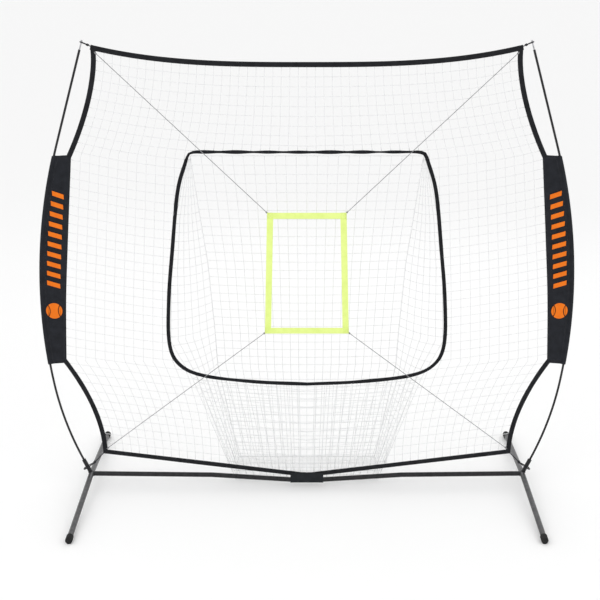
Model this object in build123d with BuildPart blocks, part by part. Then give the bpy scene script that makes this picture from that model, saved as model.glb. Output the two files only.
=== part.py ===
"""Backyard pitching target net: a steel base, two bowed fibreglass poles, a net panel held open
between them, a ball pocket behind its mouth, and a strike-zone frame hung on elastic cords.

Millimetres. X runs across the net, Y away from the pitcher, Z up. The origin is on the ground,
under the middle of the net. The net panel stands in the plane Y = 0.
"""
import os
from math import cos, radians, sin

from build123d import *

# Legs: one bent tube on each side, front foot to rear foot
leg_od, leg_id = 22, 19
foot_x, foot_y, foot_z = 925, 486, 13.5
hub_x, leg_peak_z, leg_bend = 916, 59, 400
hub_z = 57.2
cap_od, cap_reach, cap_overhang, cap_round = 28, 28, 6, 6
shoe_width, shoe_length, shoe_height = 16, 24, 11

# Base bar: a welded stub, an outer bar and an inner bar on each side
bar_od, bar_id = 20, 17
spigot_od, spigot_bore, spigot_root, swage_od = 16.6, 13, 20, 17.4
knee_x, knee_z, knee_straight = 425, 51.2, 22
stub_end_x = 825
spigot_length = 60
centre_z, centre_flat, centre_spigot = 28, 62, 48
bar_bend = 200
seam = 0.3
weld_gap, leg_seat_gap = 0.05, 0.4

# Snap buttons that lock the bars
button_od, button_hole, button_proud, button_round = 7, 7.6, 3, 2.5
leaf_width, leaf_length, leaf_thick = 6, 26, 0.8

# Hook on each pole socket
hook_up, hook_out, hook_rise, hook_wire, hook_bend = 30, 13, 8, 4, 3

# Pole: straight in its socket, then three arcs that bow inwards, then straight to its tip
pole_od, pole_lean = 9, 24
socket_od, socket_bore, socket_length = 17, 9.6, 71.2
pole_start = 16
pole_runs = [(socket_length, None, 0), (None, 1350, 15.6), (None, 2237, 8.4), (None, 2300, 17)]
pole_top_run = 378
pole_joints = (625, 1240)
ferrule_od, ferrule_bore, ferrule_half = 12, 9.4, 40
tip_od, tip_length, tip_ball = 5.6, 38, 4

# Side sleeve: a fabric panel whose outer edge is a channel on the pole
sleeve_from, sleeve_to = 523.4, 1401.1
sleeve_inner_edge = [(990, 563), (974, 836), (951, 1088), (917, 1431)]
sleeve_thick, channel_od, channel_bore, channel_cut = 3, 18, 14, 4

# Net panel and its webbing border
webbing_width, webbing_thick, net_thick, fabric_gap = 20, 3, 2, 0.5
corner_top_x, corner_top_z, border_sag, sag_power = 815, 1843, 64, 3
corner_low_x, corner_low_z, border_centre_z = 850, 160, 50
upper_side_x, upper_side_flare, upper_side_top, upper_side_drop = 809, 112, 1811, 376
lower_side_x, lower_side_flare, lower_side_low, lower_side_rise = 851, 139, 157, 406
upper_side_power, lower_side_power = 1.65, 1.9

# Mouth of the ball pocket: half of its outline, from the bottom centre up its side
mouth_side = [
    (0, 468),
    (210, 478),
    (420, 504),
    (522, 552),
    (563, 645),
    (559, 836),
    (538, 1038),
    (508, 1284),
    (468, 1418),
]
mouth_side_heading = (-30, 100)
mouth_top = [(468, 1418), (457, 1437), (432, 1443)]
mouth_top_centre = (0, 1442)
corner_share = 0.7
ring_width, ring_thick = 16, 3

# Ball pocket: its back slants from the top of the mouth to the ground
pocket_top_z, pocket_depth, pocket_clear, pocket_cloth = 1431, 270, 5, 3
back_half_widths = [(1425, 454), (1170, 427), (965, 404), (655, 387), (480, 381), (8, 304)]
wall_sections = [(10, 309, 54), (500, 478, 6), (655, 558, 5), (965, 544, 5), (1170, 520, 5), (1390, 472, 3.5)]
apron_top = [(-452, 496), (-210, 464), (0, 455), (210, 464), (452, 496)]
apron_foot_half, apron_foot_y, apron_head_y = 308, 50, 8
seam_out, seam_forward = 1, 2

# Strike-zone target and the four elastic cords that hold it
target_top_z, target_low_z, target_top_half, target_low_half = 1203, 696, 157, 171
target_webbing, target_layer, target_y = 25, 1.5, -13
target_cord_od, target_cord_y, corner_cord_y = 3, -9.8, -3.3
eyelet_in, eyelet_down = 4, 5
upper_cord_end, lower_cord_end = (805, 1827), (845, 174)

# Ties at the four corners of the net: from the net to a knot, then a loop round a hook or pole tip
tie_loop_bend = 0.8
lower_tie_od, lower_knot_size = 4.5, 5.5
lower_net_end, lower_knot = (863.5, 0, 148.5), (900, 0, 110)
lower_loop_half = [(902, 2, 108), (931, 12, 88), (945.8, 6, 79)]
upper_tie_od, upper_knot_size = 4, 4.5
upper_net_end, upper_knot = (821, 0, 1849), (829, 0, 1853)
upper_loop_half = [(831, 2, 1854), (858.4, 6.4, 1868.4)]

# Strap round the base bar and the bottom border
wrap_half, wrap_top, wrap_thick, wrap_gap = 70, 61, 2.2, 0.6
wrap_lip, wrap_open = 2, 6

os.makedirs("parts", exist_ok=True)


def save(piece, name):
    """Label one finished piece and write its STEP file."""
    piece.label = name
    export_step(piece, f"parts/{name}.step")


def save_pair(piece, name):
    """Write a right-hand piece and its mirror image on the left."""
    save(piece, f"{name}_right")
    with BuildPart() as left:
        mirror(piece, about=Plane.YZ)
    save(left.part, f"{name}_left")


def tube(plane, length, outer, bore=0.0):
    """Add a straight tube, or a rod, that runs from a plane along its normal."""
    with BuildSketch(plane) as section:
        Circle(outer / 2)
        if bore:
            Circle(bore / 2, mode=Mode.SUBTRACT)
    extrude(section.sketch, amount=length)


def bent_tube(points, radius, outer, bore=0.0, mode=Mode.ADD):
    """Add a tube along straight runs joined by tangent arcs."""
    with BuildLine() as route:
        FilletPolyline(*points, radius=radius)
    with BuildSketch(Plane(origin=route.wire() @ 0, z_dir=route.wire() % 0)) as section:
        Circle(outer / 2)
        if bore:
            Circle(bore / 2, mode=Mode.SUBTRACT)
    sweep(sections=section.sketch, path=route.wire(), mode=mode)


def pole_state(distance):
    """The pole's position and heading, at a distance along it from the hub."""
    x, z, lean, left = hub_x, hub_z, pole_lean, distance
    for straight, radius, turn in pole_runs:
        length = straight or radius * radians(turn)
        step = min(left, length)
        if straight:
            x += step * sin(radians(lean))
            z += step * cos(radians(lean))
        else:
            after = lean - turn * step / length
            x += radius * (cos(radians(after)) - cos(radians(lean)))
            z += radius * (sin(radians(lean)) - sin(radians(after)))
            lean = after
        left -= step
    x += left * sin(radians(lean))
    z += left * cos(radians(lean))
    return x, z, lean


def pole_curve(start, end):
    """Draw the stretch of the pole's centre line between two distances, on Plane.XZ."""
    begins = 0
    for straight, radius, turn in pole_runs + [(pole_top_run, None, 0)]:
        length = straight or radius * radians(turn)
        first, last = max(start, begins), min(end, begins + length)
        if last - first > 1e-6:
            x, z, lean = pole_state(first)
            heading = (sin(radians(lean)), cos(radians(lean)))
            if straight:
                Line((x, z), (x + (last - first) * heading[0], z + (last - first) * heading[1]))
            else:
                JernArc(start=(x, z), tangent=heading, radius=radius, arc_size=turn * (last - first) / length)
        begins += length


def pole_tube(start, end, outer, bore=0.0, mode=Mode.ADD):
    """Add a tube, or a rod, on the pole's centre line."""
    with BuildLine(Plane.XZ) as route:
        pole_curve(start, end)
    with BuildSketch(Plane(origin=route.wire() @ 0, z_dir=route.wire() % 0)) as section:
        Circle(outer / 2)
        if bore:
            Circle(bore / 2, mode=Mode.SUBTRACT)
    sweep(sections=section.sketch, path=route.wire(), mode=mode)


def leg_seat():
    """Cut the active part to the leg tube that it is welded to."""
    with BuildSketch(Plane.XZ) as seat:
        with Locations((hub_x, hub_z)):
            Circle(leg_od / 2 + leg_seat_gap)
    extrude(seat.sketch, amount=leg_od, both=True, mode=Mode.SUBTRACT)


def button_plane(x, z):
    """A plane through a bar's centre line that faces away from the pitcher."""
    return Plane(origin=(x, 0, z), x_dir=(1, 0, 0), z_dir=(0, 1, 0))


def button_bore(x, z):
    """Cut the hole for a snap button in a bar's rear wall."""
    with BuildSketch(button_plane(x, z)) as hole:
        Circle(button_hole / 2)
    extrude(hole.sketch, amount=bar_od, mode=Mode.SUBTRACT)


# ---------------------------------------------------------------- legs and their rubber feet
leg_route = [(foot_x, -foot_y, foot_z), (hub_x, 0, leg_peak_z), (foot_x, foot_y, foot_z)]

with BuildPart() as leg:
    bent_tube(leg_route, leg_bend, leg_od, leg_id)
save_pair(leg.part, "leg_tube")

for end_name, side in (("front", -1), ("rear", 1)):
    toe = (foot_x, side * foot_y, foot_z)
    along = (foot_x - hub_x, side * foot_y, foot_z - leg_peak_z)
    toe_plane = Plane(origin=toe, z_dir=along)
    with BuildPart() as cap:
        tube(toe_plane.offset(-cap_reach), cap_reach + cap_overhang, cap_od)
        fillet(cap.faces().sort_by(Axis.Y)[-1 if side > 0 else 0].edges(), cap_round)
        with BuildSketch(Plane.XY):
            with Locations((foot_x, side * (foot_y - shoe_length / 2 + cap_overhang / 2))):
                RectangleRounded(shoe_width, shoe_length, shoe_width / 4)
        extrude(amount=shoe_height)
        with BuildSketch(toe_plane.offset(-cap_reach)):
            Circle(leg_od / 2 + weld_gap)
        extrude(amount=cap_reach + weld_gap, mode=Mode.SUBTRACT)
        split(bisect_by=Plane.XY, keep=Keep.TOP)
    save_pair(cap.part, f"foot_cap_{end_name}")

# ---------------------------------------------------------------- base bar
outer_run = Vector(knee_x - hub_x, 0, knee_z - hub_z)


def bar_plane(x, towards_middle=True):
    """A plane across the outer bar's centre line, at a place along X."""
    z = hub_z + (x - hub_x) * outer_run.Z / outer_run.X
    direction = outer_run if towards_middle else -outer_run
    return Plane(origin=(x, 0, z), x_dir=(0, 1, 0), z_dir=direction)


stub_length = (hub_x - stub_end_x) * outer_run.length / abs(outer_run.X)
leg_button_x, knee_button_x = stub_end_x - spigot_length / 2, knee_x + spigot_length / 2
leg_button_z = bar_plane(leg_button_x).origin.Z
knee_button_z = bar_plane(knee_button_x).origin.Z

with BuildPart() as stub:
    tube(bar_plane(hub_x), stub_length, bar_od, bar_id)
    tube(bar_plane(stub_end_x + spigot_root), spigot_root, swage_od, spigot_bore)
    tube(bar_plane(stub_end_x + spigot_root), spigot_root + spigot_length, spigot_od, spigot_bore)
    leg_seat()
    button_bore(leg_button_x, leg_button_z)
save_pair(stub.part, "bar_stub")

with BuildPart() as outer_bar:
    tube(bar_plane(stub_end_x - seam), outer_run.length - stub_length - 2 * seam, bar_od, bar_id)
    button_bore(leg_button_x, leg_button_z)
    button_bore(knee_button_x, knee_button_z)
save_pair(outer_bar.part, "outer_bar")

knee_inside = bar_plane(knee_x - knee_straight).origin
inner_route = [(knee_x, 0, knee_z), tuple(knee_inside), (centre_flat, 0, centre_z), (seam, 0, centre_z)]
with BuildPart() as inner_bar:
    bent_tube(inner_route, bar_bend, bar_od, bar_id)
    tube(bar_plane(knee_x - spigot_root / 2, False), spigot_root / 2, swage_od, spigot_bore)
    tube(bar_plane(knee_x - spigot_root / 2, False), spigot_root / 2 + spigot_length, spigot_od, spigot_bore)
    button_bore(knee_button_x, knee_button_z)
save(inner_bar.part, "inner_bar_right")

with BuildPart() as inner_bar_left:
    mirror(inner_bar.part, about=Plane.YZ)
    centre_plane = Plane(origin=(-spigot_root, 0, centre_z), z_dir=(1, 0, 0))
    tube(centre_plane, spigot_root - seam, swage_od, spigot_bore)
    tube(centre_plane, spigot_root + centre_spigot, spigot_od, spigot_bore)
save(inner_bar_left.part, "inner_bar_left")

for place, x, z in (("leg", leg_button_x, leg_button_z), ("knee", knee_button_x, knee_button_z)):
    with BuildPart() as button:
        with BuildSketch(button_plane(x, z).offset(leaf_width / 2 + leaf_thick)):
            Circle(button_od / 2)
        extrude(amount=bar_od / 2 + button_proud - leaf_width / 2 - leaf_thick)
        fillet(button.faces().sort_by(Axis.Y)[-1].edges(), button_round)
        with BuildSketch(button_plane(x, z).offset(leaf_width / 2)):
            Rectangle(leaf_length, leaf_width)
        extrude(amount=leaf_thick)
    save_pair(button.part, f"snap_button_{place}")

# ---------------------------------------------------------------- pole sockets and their hooks
lean_x, lean_z = sin(radians(pole_lean)), cos(radians(pole_lean))
socket_plane = Plane(origin=(hub_x, 0, hub_z), z_dir=(lean_x, 0, lean_z))

with BuildPart() as stub_envelope:
    tube(bar_plane(hub_x), stub_length, bar_od + 2 * weld_gap)

with BuildPart() as socket:
    tube(socket_plane, socket_length, socket_od, socket_bore)
    leg_seat()
    add(stub_envelope.part, mode=Mode.SUBTRACT)
save_pair(socket.part, "pole_socket")


def beside_socket(up, out):
    """A point beside the pole socket, up its length and out from its centre line."""
    return hub_x + up * lean_x + out * lean_z, 0, hub_z + up * lean_z - out * lean_x


with BuildPart() as hook:
    hook_route = [beside_socket(hook_up, socket_od / 2 + weld_gap), beside_socket(hook_up, hook_out)]
    hook_route.append(beside_socket(hook_up + hook_rise, hook_out))
    bent_tube(hook_route, hook_bend, hook_wire)
save_pair(hook.part, "net_hook")

# ---------------------------------------------------------------- poles
pole_end = sum(length or radius * radians(turn) for length, radius, turn in pole_runs) + pole_top_run
pole_breaks = (pole_start, *pole_joints, pole_end)
for number, name in enumerate(("pole_lower", "pole_middle", "pole_upper")):
    with BuildPart() as pole:
        pole_tube(pole_breaks[number] + seam / 2, pole_breaks[number + 1] - seam / 2, pole_od)
    save_pair(pole.part, name)

with BuildPart() as ferrules:
    for joint in pole_joints:
        pole_tube(joint - ferrule_half, joint + ferrule_half, ferrule_od, ferrule_bore)
save_pair(ferrules.part, "pole_ferrules")

tip_x, tip_z, tip_lean = pole_state(pole_end)
tip_direction = (sin(radians(tip_lean)), 0, cos(radians(tip_lean)))
with BuildPart() as tip:
    tube(Plane(origin=(tip_x, 0, tip_z), z_dir=tip_direction), tip_length - tip_ball, tip_od)
    reach = tip_length - tip_ball
    with Locations((tip_x + reach * tip_direction[0], 0, tip_z + reach * tip_direction[2])):
        Sphere(tip_ball)
save_pair(tip.part, "pole_tip")

# ---------------------------------------------------------------- side sleeves
with BuildPart() as sleeve:
    with BuildSketch(Plane.XZ):
        with BuildLine():
            low_x, low_z, _ = pole_state(sleeve_from)
            high_x, high_z, _ = pole_state(sleeve_to)
            pole_curve(sleeve_from, sleeve_to)
            Line((high_x, high_z), sleeve_inner_edge[-1])
            Spline(*reversed(sleeve_inner_edge))
            Line(sleeve_inner_edge[0], (low_x, low_z))
        make_face()
    extrude(amount=sleeve_thick / 2, both=True)
    pole_tube(sleeve_from, sleeve_to, channel_od)
    pole_tube(sleeve_from - channel_cut, sleeve_to + channel_cut, channel_bore, mode=Mode.SUBTRACT)
save_pair(sleeve.part, "side_sleeve")


# ---------------------------------------------------------------- webbing border of the net
def top_line(x):
    """Height of the top border's centre line, which sags between the corners."""
    return corner_top_z - border_sag * (1 - abs(x / corner_top_x) ** sag_power)


def bottom_line(x):
    """Height of the bottom border's centre line, which is drawn down at its middle."""
    return border_centre_z + (corner_low_z - border_centre_z) * abs(x) / corner_low_x


def upper_side_line(z):
    """The upper side border's centre line, from the top corner to the sleeve."""
    drop = max(0, (upper_side_top - z) / upper_side_drop)
    return upper_side_x + upper_side_flare * drop**upper_side_power


def lower_side_line(z):
    """The lower side border's centre line, from the bottom corner to the sleeve."""
    rise = max(0, (z - lower_side_low) / lower_side_rise)
    return lower_side_x + lower_side_flare * rise**lower_side_power


half_web = webbing_width / 2
top_end_x = upper_side_x + half_web
low_end_x = lower_side_x + half_web
upper_side_zs = (1434, 1530, 1630, 1740, 1828)
lower_side_zs = (174, 280, 380, 470, 561)
top_xs = (0, 300, 560, 720, top_end_x)


def band(first, second):
    """Add a flat band of webbing between two edges."""
    with BuildSketch(Plane.XZ) as outline:
        with BuildLine():
            Spline(*first)
            Line(first[-1], second[-1])
            Spline(*second)
            Line(second[0], first[0])
        make_face()
    extrude(outline.sketch, amount=webbing_thick / 2, both=True)


with BuildPart() as border_top:
    across = [-x for x in reversed(top_xs)] + list(top_xs[1:])
    band([(x, top_line(x) + half_web) for x in across], [(x, top_line(x) - half_web) for x in across])
save(border_top.part, "border_top")

with BuildPart() as border_bottom:
    with BuildSketch(Plane.XZ):
        ends = (-low_end_x, 0, low_end_x)
        upper = [(x, bottom_line(x) + half_web) for x in ends]
        lower = [(x, bottom_line(x) - half_web) for x in reversed(ends)]
        Polygon(*upper, *lower, align=None)
    extrude(amount=webbing_thick / 2, both=True)
save(border_bottom.part, "border_bottom")

for name, line, heights in (
    ("border_upper", upper_side_line, upper_side_zs),
    ("border_lower", lower_side_line, lower_side_zs),
):
    with BuildPart() as side_border:
        band([(line(z) - half_web, z) for z in heights], [(line(z) + half_web, z) for z in heights])
    save_pair(side_border.part, name)

# ---------------------------------------------------------------- pocket mouth and the net panel
def mouth_outline(grow):
    """Draw the mouth's closed outline, grown outwards by a distance, on the sketch's own plane."""
    side = [Vector(*point) for point in mouth_side]
    after = side[1:] + [side[-1] + Vector(*mouth_side_heading)]
    before = [Vector(-side[1].X, side[1].Y)] + side[:-1]
    normals = [(last - first).normalized().rotate(Axis.Z, -90) for first, last in zip(before, after)]
    grown = [point + normal * grow for point, normal in zip(side, normals)]
    corner_side, corner, corner_top = grown[-1], Vector(*mouth_top[1]), Vector(*mouth_top[2])
    corner += Vector(grow, grow) * corner_share
    corner_top += Vector(0, grow)
    with BuildLine() as half:
        Spline(*grown)
        ThreePointArc(corner_side, corner, corner_top)
        Line(corner_top, (0, mouth_top_centre[1] + grow))
        mirror(about=Plane.YZ)
    return half.line


with BuildPart() as pocket_ring:
    with BuildSketch(Plane.XZ):
        make_face(mouth_outline(ring_width / 2).edges())
        make_face(mouth_outline(-ring_width / 2).edges(), mode=Mode.SUBTRACT)
    extrude(amount=ring_thick / 2, both=True)
save(pocket_ring.part, "pocket_ring")

with BuildPart() as front_net:
    inset = half_web + fabric_gap
    lower_edge = [(lower_side_line(z) - inset, z) for z in lower_side_zs]
    sleeve_edge = [(x - fabric_gap, z) for x, z in sleeve_inner_edge]
    upper_edge = [(upper_side_line(z) - inset, z) for z in upper_side_zs]
    upper_edge[-1] = (upper_edge[-1][0], top_line(upper_edge[-1][0]) - inset)
    lower_edge[0] = (lower_edge[0][0], bottom_line(lower_edge[0][0]) + inset)
    top_edge = [(x, top_line(x) - inset) for x in (0, 300, 560, 720)]
    with BuildSketch(Plane.XZ):
        with BuildLine():
            Line((0, border_centre_z + inset), lower_edge[0])
            Spline(*lower_edge)
            Line(lower_edge[-1], sleeve_edge[0])
            Spline(*sleeve_edge)
            Line(sleeve_edge[-1], upper_edge[0])
            Spline(*upper_edge)
            Spline(upper_edge[-1], *reversed(top_edge))
            mirror(about=Plane.YZ)
        make_face()
        make_face(mouth_outline(ring_width / 2 + fabric_gap).edges(), mode=Mode.SUBTRACT)
    extrude(amount=net_thick / 2, both=True)
save(front_net.part, "front_net")

# ---------------------------------------------------------------- ball pocket
back_tangent = pocket_depth / pocket_top_z


def back_y(z):
    """How far behind the mouth the pocket's back lies at a height."""
    return (pocket_top_z - z) * back_tangent


back_plane = Plane(origin=(0, back_y(0), 0), x_dir=(1, 0, 0), z_dir=(0, -1, -back_tangent))
slant = (1 + back_tangent**2) ** 0.5
with BuildPart() as pocket_back:
    with BuildSketch(back_plane):
        right_edge = [(half, z * slant) for z, half in back_half_widths]
        left_edge = [(-x, along) for x, along in reversed(right_edge)]
        Polygon(*right_edge, *left_edge, align=None)
    extrude(amount=-pocket_cloth)
save(pocket_back.part, "pocket_back_net")


def seam_half_width(z):
    """Half the width of the pocket's back at a height."""
    for (high, wide), (low, narrow) in zip(back_half_widths, back_half_widths[1:]):
        if z >= low:
            return narrow + (wide - narrow) * (z - low) / (high - low)
    return back_half_widths[-1][1]


with BuildPart() as pocket_side:
    for z, front_x, front_y in wall_sections:
        front = Vector(front_x, front_y)
        seam_y = max(back_y(z) - seam_forward, front_y + 1)
        seam_point = Vector(seam_half_width(z) + seam_out, seam_y)
        across = (seam_point - front).normalized().rotate(Axis.Z, -90) * pocket_cloth
        with BuildSketch(Plane.XY.offset(z)):
            corners = [front, seam_point, seam_point + across, front + across]
            Polygon(*[(corner.X, corner.Y) for corner in corners], align=None)
    loft(ruled=True)
save_pair(pocket_side.part, "pocket_side_net")

apron_rise = apron_top[2][1] - pocket_clear
apron_slope = (apron_foot_y - apron_head_y) / apron_rise
apron_plane = Plane(
    origin=(0, apron_foot_y, pocket_clear), x_dir=(1, 0, 0), z_dir=(0, -1, -apron_slope)
)
with BuildPart() as pocket_front:
    with BuildSketch(apron_plane):
        with BuildLine():
            rim = [(x, z - pocket_clear) for x, z in apron_top]
            Spline(*rim)
            Polyline(rim[-1], (apron_foot_half, 0), (-apron_foot_half, 0), rim[0])
        make_face()
    extrude(amount=pocket_cloth, dir=(0, 1, 0))
save(pocket_front.part, "pocket_front_net")

with BuildPart() as pocket_floor:
    floor_front, floor_back = apron_foot_y + 2 * pocket_cloth, back_y(0) - 2 * pocket_cloth
    with BuildSketch(Plane.XY.offset(pocket_clear)):
        with Locations((0, (floor_front + floor_back) / 2)):
            Rectangle(2 * (back_half_widths[-1][1] - pocket_cloth), floor_back - floor_front)
    extrude(amount=pocket_cloth)
save(pocket_floor.part, "pocket_floor_net")

# ---------------------------------------------------------------- strike-zone target and its cords
with BuildPart() as target_frame:
    with BuildSketch(Plane.XZ.offset(-target_y)):
        for z, half in ((target_top_z, target_top_half), (target_low_z, target_low_half)):
            inner_z = z - target_webbing if z == target_top_z else z + target_webbing
            Polygon((-half, z), (half, z), (half, inner_z), (-half, inner_z), align=None)
    extrude(amount=target_layer)
    with BuildSketch(Plane.XZ.offset(-target_y)):
        for side in (-1, 1):
            top_x, low_x = side * target_top_half, side * target_low_half
            step = side * target_webbing
            corners = [(top_x, target_top_z), (low_x, target_low_z)]
            Polygon(*corners, (low_x - step, target_low_z), (top_x - step, target_top_z), align=None)
    extrude(amount=-target_layer)
save(target_frame.part, "target_frame")

target_corners = {
    "upper": ((target_top_half - eyelet_in, target_top_z - eyelet_down), upper_cord_end),
    "lower": ((target_low_half - eyelet_in, target_low_z + eyelet_down), lower_cord_end),
}
for name, ((x0, z0), (x1, z1)) in target_corners.items():
    with BuildPart() as target_cord:
        start, finish = Vector(x0, target_cord_y, z0), Vector(x1, corner_cord_y, z1)
        tube(Plane(origin=start, z_dir=finish - start), (finish - start).length, target_cord_od)
    save_pair(target_cord.part, f"target_cord_{name}")


# ---------------------------------------------------------------- ties at the net's corners
def tie(net_end, knot, knot_size, loop_half, cord_od):
    """Add a cord from the net's corner to a knot, and a loop from the knot round a hook or a tip."""
    run = Vector(*net_end) - Vector(*knot)
    tube(Plane(origin=knot, z_dir=run), run.length, cord_od)
    loop = [(x, -y, z) for x, y, z in loop_half] + loop_half[::-1]
    bent_tube(loop, cord_od * tie_loop_bend, cord_od)
    with Locations(knot):
        Sphere(knot_size)


with BuildPart() as lower_tie:
    tie(lower_net_end, lower_knot, lower_knot_size, lower_loop_half, lower_tie_od)
save_pair(lower_tie.part, "corner_cord_lower")

with BuildPart() as upper_tie:
    tie(upper_net_end, upper_knot, upper_knot_size, upper_loop_half, upper_tie_od)
save_pair(upper_tie.part, "corner_cord_upper")

# ---------------------------------------------------------------- strap round the bar and border
wrap_shapes = ((wrap_gap + wrap_thick, wrap_lip, Mode.ADD), (wrap_gap, wrap_open, Mode.SUBTRACT))
with BuildPart() as centre_wrap:
    for grow, height, mode in wrap_shapes:
        with BuildSketch(Plane.YZ.offset(-wrap_half)):
            with Locations((0, centre_z)):
                Circle(bar_od / 2 + grow)
            with Locations((0, wrap_top - wrap_lip + height / 2)):
                Rectangle(webbing_thick + 2 * grow, height)
            make_hull()
        extrude(amount=2 * wrap_half, mode=mode)
save(centre_wrap.part, "centre_wrap")
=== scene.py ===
"""The looks of the pitching target net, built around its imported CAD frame. Metres, Z up."""
import math

import bmesh
import bpy
import numpy as np
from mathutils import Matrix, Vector


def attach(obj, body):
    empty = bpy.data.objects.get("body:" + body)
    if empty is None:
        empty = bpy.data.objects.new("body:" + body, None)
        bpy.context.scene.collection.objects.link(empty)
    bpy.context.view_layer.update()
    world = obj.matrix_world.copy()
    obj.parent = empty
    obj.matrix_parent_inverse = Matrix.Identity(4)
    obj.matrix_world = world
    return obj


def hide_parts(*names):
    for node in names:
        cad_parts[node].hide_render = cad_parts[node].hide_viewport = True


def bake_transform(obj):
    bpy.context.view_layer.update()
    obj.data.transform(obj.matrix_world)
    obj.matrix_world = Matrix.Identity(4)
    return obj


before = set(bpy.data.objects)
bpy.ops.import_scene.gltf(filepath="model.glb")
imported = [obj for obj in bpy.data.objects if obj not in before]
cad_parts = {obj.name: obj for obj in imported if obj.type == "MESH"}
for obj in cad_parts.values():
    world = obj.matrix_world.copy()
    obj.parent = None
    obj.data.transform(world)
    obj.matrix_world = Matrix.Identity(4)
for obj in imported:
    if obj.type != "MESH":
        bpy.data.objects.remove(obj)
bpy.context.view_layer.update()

# ---------------------------------------------------------------- driving dimensions, as in the CAD
BODY = "base"
MESH_PITCH, STRAND = 0.037, 0.0011
WEB_WIDTH, WEB_THICK = 0.020, 0.0026
TOP_X, TOP_Z, TOP_SAG, SAG_POWER = 0.815, 1.843, 0.064, 3
LOW_X, LOW_Z, CENTRE_Z = 0.850, 0.160, 0.050
UPPER_X, UPPER_FLARE, UPPER_TOP, UPPER_DROP, UPPER_POWER = 0.809, 0.112, 1.811, 0.376, 1.65
LOWER_X, LOWER_FLARE, LOWER_LOW, LOWER_RISE, LOWER_POWER = 0.851, 0.139, 0.157, 0.406, 1.9
SLEEVE_INNER = [(0.990, 0.563), (0.974, 0.836), (0.951, 1.088), (0.917, 1.431)]
POLE_HUB, POLE_LEAN, POLE_TOP_RUN = (0.916, 0.0572), 24, 0.378
POLE_RUNS = [(0.0712, None, 0), (None, 1.350, 15.6), (None, 2.237, 8.4), (None, 2.300, 17)]
SLEEVE_FROM, SLEEVE_TO = 0.5234, 1.4011
MOUTH_SIDE = [(0, 0.468), (0.210, 0.478), (0.420, 0.504), (0.522, 0.552), (0.563, 0.645), (0.559, 0.836)]
MOUTH_SIDE += [(0.538, 1.038), (0.508, 1.284), (0.468, 1.418)]
MOUTH_CORNER = [(0.468, 1.418), (0.457, 1.437), (0.432, 1.443)]
MOUTH_TOP = [(0.2, 1.4425), (0, 1.442)]
POCKET_TOP, POCKET_DEPTH, POCKET_CLEAR = 1.431, 0.270, 0.006
BACK_HALF = [(1.425, 0.454), (1.170, 0.427), (0.965, 0.404), (0.655, 0.387), (0.480, 0.381), (0.008, 0.304)]
WALL_FRONT = [(0.010, 0.309, 0.054), (0.500, 0.478, 0.006), (0.655, 0.558, 0.005), (0.965, 0.544, 0.005)]
WALL_FRONT += [(1.170, 0.520, 0.005), (1.390, 0.472, 0.0035)]
WALL_LOW, WALL_TALL = 0.008, 1.405
APRON_FOOT_HALF, APRON_HEAD_HALF, APRON_FOOT_Y, APRON_HEAD_Y = 0.308, 0.462, 0.050, 0.0024
FLOOR_HALF, FLOOR_EDGE = 0.302, 0.004
TARGET = {"top": 1.203, "low": 0.696, "top_half": 0.157, "low_half": 0.171, "web": 0.025}
TARGET_Y, TARGET_LAYER, TARGET_CORD = -0.013, 0.0015, 0.0014
STITCH = 0.00028


# ---------------------------------------------------------------- mesh helpers
def add_mesh(name, vertices, faces, uvs=None, smooth=True):
    """Make a mesh object; uvs gives one pair for each face corner."""
    mesh = bpy.data.meshes.new(name)
    mesh.from_pydata([tuple(v) for v in vertices], [], [tuple(f) for f in faces])
    if uvs is not None:
        layer = mesh.uv_layers.new(name="UVMap")
        layer.data.foreach_set("uv", np.asarray(uvs, np.float32).ravel())
    mesh.polygons.foreach_set("use_smooth", [smooth] * len(mesh.polygons))
    mesh.update()
    made = bpy.data.objects.new(name, mesh)
    bpy.context.collection.objects.link(made)
    return made


def unit(rows):
    """Scale each row to length one."""
    return rows / np.maximum(np.linalg.norm(rows, axis=-1, keepdims=True), 1e-12)


def tangents_of(path, closed=False):
    """The direction of a polyline at each of its points."""
    if closed:
        return unit(np.roll(path, -1, 0) - np.roll(path, 1, 0))
    return unit(np.gradient(path, axis=0))


def loft_section(name, path, section, across, closed=False):
    """Carry a closed section along a path: section rows are (across, out) in metres."""
    path = np.asarray(path, float)
    tangent = tangents_of(path, closed)
    across = unit(across - tangent * np.sum(across * tangent, 1, keepdims=True))
    out = np.cross(tangent, across)
    section = np.asarray(section, float)
    rings = path[:, None] + section[:, :1] * across[:, None] + section[:, 1:] * out[:, None]
    count, sides = rings.shape[:2]
    steps = np.linalg.norm(np.diff(path, axis=0), axis=1)
    along = np.concatenate([[0], np.cumsum(steps)])
    girth = np.linalg.norm(np.diff(np.vstack([section, section[:1]]), axis=0), axis=1)
    round_by = np.concatenate([[0], np.cumsum(girth)])
    faces, uvs = [], []
    for i in range(count if closed else count - 1):
        j = (i + 1) % count
        end = along[i] + (steps[i] if i < count - 1 else steps[-1])
        for k in range(sides):
            m = (k + 1) % sides
            faces.append((i * sides + k, i * sides + m, j * sides + m, j * sides + k))
            low, high = round_by[k], round_by[k + 1]
            uvs += [(along[i], low), (along[i], high), (end, high), (end, low)]
    if not closed:
        for ring, order in ((0, range(sides - 1, -1, -1)), (count - 1, range(sides))):
            faces.append([ring * sides + k for k in order])
            uvs += [(0, 0)] * sides
    return add_mesh(name, rings.reshape(-1, 3), faces, uvs)


def flat_section(width, thick):
    """A webbing's section: flat faces and rounded edges."""
    half, edge = width / 2, thick / 2
    outline = [(-half, 0), (-half + edge * 0.4, edge * 0.8), (-half + edge * 1.5, edge), (0, edge)]
    outline += [(half - edge * 1.5, edge), (half - edge * 0.4, edge * 0.8), (half, 0)]
    return outline + [(x, -y) for x, y in reversed(outline[1:-1])]


def round_section(radius, sides=10):
    """A round cord's section."""
    turns = np.arange(sides) * 2 * math.pi / sides
    return np.column_stack([np.cos(turns), np.sin(turns)]) * radius


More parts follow.
